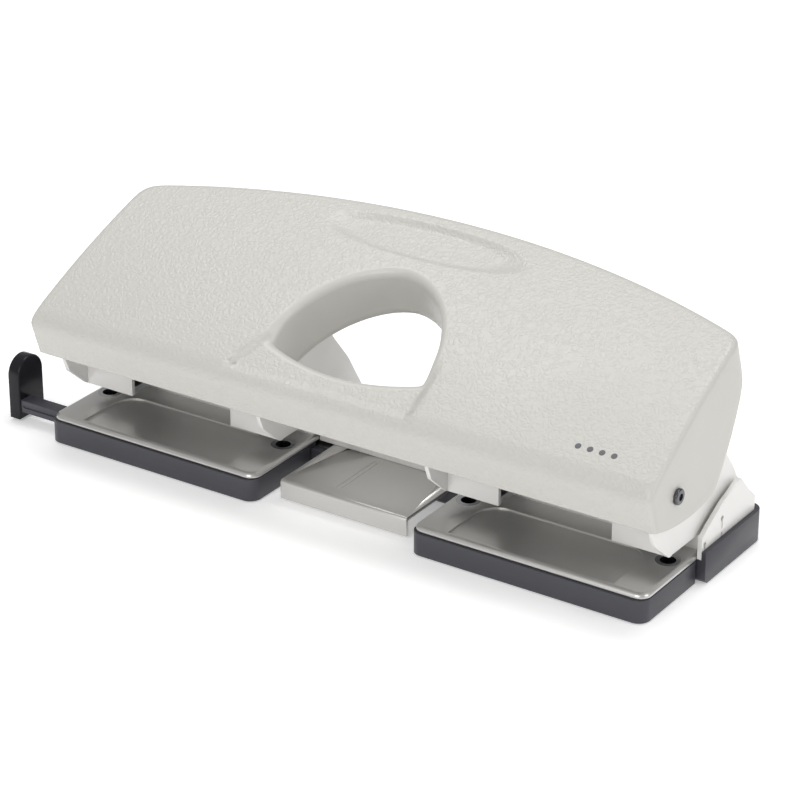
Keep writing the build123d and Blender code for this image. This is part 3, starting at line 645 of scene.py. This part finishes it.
shell = np.stack([to_row(x, t, n) for x, t, n in shell_rows()])
lever = grid_mesh("lever_shell", shell, wrap_rows=True)
print("lever shell", shell.shape, "faces", len(lever.data.polygons))

# %% [markdown]
# The top and the front skirt have a leather-like grain; the end walls, the rear rim, the
# hole's wall and the inside are smooth. Each face takes its finish by its row and column.

# %% The lever's finishes
TUNNEL_ROWS = TUNNEL_STEPS + len(TURNS)
TOP_ROWS = TUNNEL_ROWS + TOP_STEPS
SKIRT_ROWS = 14
lever.data.materials.append(LEVER)
lever.data.materials.append(LEVER_SMOOTH)
row_of_face, column_of_face = np.divmod(np.arange(len(lever.data.polygons)), COLUMNS)
smooth_face = (row_of_face < TUNNEL_ROWS - 1) | (row_of_face > TOP_ROWS + 2)
in_front = column_of_face < COUNTS["front"] - 1
on_skirt = in_front & (row_of_face > TOP_ROWS) & (row_of_face < TOP_ROWS + SKIRT_ROWS)
lever.data.polygons.foreach_set("material_index", (smooth_face & ~on_skirt).astype(np.int32))
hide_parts("lever_cover")
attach(lever, "lever")


# %% [markdown]
# A plain printed mark of four dots, one for each hole, sits low on the right of the lever.

# %% Printed dots
def printed_dot(name, x, t, radius):
    """A thin round film about (x, t) whose height above the top falls to nothing at its rim."""
    ring = np.array([0.02, 0.4, 0.75, 0.95, 1.0])[:, None] * radius
    around = np.linspace(0, 2 * math.pi, 24, endpoint=False)[None, :]
    px = x + ring * np.cos(around)
    pt = t + ring * np.sin(around)
    lift = 0.05 * (1 - (ring / radius) ** 6) + 0.0 * around
    piece = grid_mesh(name, to_row(px, pt, top_height(pt) + lift))
    piece.data.materials.append(INK)
    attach(piece, "lever")
    return piece


FIRST_DOT = (97.0, 13.2)
DOT_STEP = 4.6
DOT_RADIUS = 1.15
for number in range(4):
    printed_dot(f"printed_dot_{number + 1}", FIRST_DOT[0] + DOT_STEP * number, FIRST_DOT[1], DOT_RADIUS)


# %% [markdown]
# ## Return springs
# Each pin is lifted by a wire coil under its head.

# %% Coiled springs
def spring(name, low, high, turns=7.5, wire=0.36):
    """A tube round a helix, its wire tapered away at both ends; the pitch is a little wider mid-way."""
    centre = (np.array(low) + np.array(high)) / 2 / MM
    radius = (high[0] - low[0]) / MM / 2 - wire
    bottom = low[2] / MM + wire
    top = high[2] / MM - wire
    q = np.linspace(0, 1, 320)
    angle = 2 * math.pi * turns * q
    climb = ramp(q, -0.02, 1.02) * 0.35 + 0.65 * q
    rise = bottom + (climb - climb[0]) / (climb[-1] - climb[0]) * (top - bottom)
    line = np.stack([centre[0] + radius * np.cos(angle), centre[1] + radius * np.sin(angle), rise], axis=1)
    outward = np.stack([np.cos(angle), np.sin(angle), np.zeros_like(angle)], axis=1)
    upward = np.array([0.0, 0.0, 1.0])
    around = np.linspace(0, 2 * math.pi, 10, endpoint=False)
    thick = wire * np.sqrt(np.clip(1 - (np.abs(q - 0.5) * 2) ** 400, 0.0004, 1))
    ring = np.cos(around)[None, :, None] * outward[:, None, :] + np.sin(around)[None, :, None] * upward
    points = (line[:, None, :] + ring * thick[:, None, None]) * MM
    return grid_mesh(name, points)


for number in range(1, 5):
    source = f"return_spring_{number}"
    low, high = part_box(source)
    coil = spring(f"coil_spring_{number}", low, high)
    coil.data.materials.append(WIRE)
    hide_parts(source)
    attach(coil, "base")
    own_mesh(coil)
print("springs 4")

# %% [markdown]
# ## Floor, light and camera
# A pale floor that glows a little, an even room and four soft lamps: one overhead, a small
# one whose reflection lies on the lever's top, one in front and one on the right. The long
# lens stands well back.

# %% Floor
floor_mesh = bpy.data.meshes.new("floor")
reach = 6.0
corners = [(-reach, -reach, 0), (reach, -reach, 0), (reach, reach, 0), (-reach, reach, 0)]
floor_mesh.from_pydata(corners, [], [(0, 1, 2, 3)])
floor = bpy.data.objects.new("floor", floor_mesh)
bpy.context.scene.collection.objects.link(floor)
PALE = finish("pale floor", (0.92, 0.92, 0.92), (0.90, 0.90, 0.90), (0.8, 0.9), tone_scale=2)
PALE.node_tree.nodes["Principled BSDF"].inputs["Emission Strength"].default_value = 0.3
floor_mesh.materials.append(PALE)

# %% Lights
world = bpy.data.worlds.new("room")
bpy.context.scene.world = world
world.use_nodes = True
world.node_tree.nodes["Background"].inputs["Color"].default_value = (1.0, 1.0, 1.0, 1)
world.node_tree.nodes["Background"].inputs["Strength"].default_value = 0.42


def soft_lamp(name, place, size, power):
    """A square area lamp that faces the middle of the punch."""
    data = bpy.data.lights.new(name, "AREA")
    data.shape = "SQUARE"
    data.size = size
    data.energy = power
    lamp = bpy.data.objects.new(name, data)
    lamp.location = place
    lamp.rotation_euler = (Vector((0, 0, 0.04)) - Vector(place)).to_track_quat("-Z", "Y").to_euler()
    bpy.context.scene.collection.objects.link(lamp)


soft_lamp("key", (0.08, 0.25, 0.85), 0.45, 2.5)
soft_lamp("sheen", (-0.275, 0.10, 0.64), 0.22, 0.9)
soft_lamp("front", (0.10, -1.35, 0.75), 0.8, 8.5)
soft_lamp("right", (1.20, 0.10, 0.70), 0.6, 4.0)

# %% Camera
AZIMUTH = math.radians(33.62)
ELEVATION = math.radians(25.51)
DISTANCE = 1.1415
AIM = Vector((-0.0031, 0.0493 - 0.0576, 0.030))
lens = bpy.data.cameras.new("camera")
lens.sensor_width = 36.0
lens.lens = 142.5
lens.clip_start = 0.05
lens.clip_end = 50
camera = bpy.data.objects.new("camera", lens)
away = Vector((math.cos(ELEVATION) * math.sin(AZIMUTH),
               -math.cos(ELEVATION) * math.cos(AZIMUTH),
               math.sin(ELEVATION)))
camera.location = AIM + away * DISTANCE
camera.rotation_euler = (-away).to_track_quat("-Z", "Y").to_euler()
bpy.context.scene.collection.objects.link(camera)
bpy.context.scene.camera = camera
bpy.context.scene.view_settings.view_transform = "Standard"
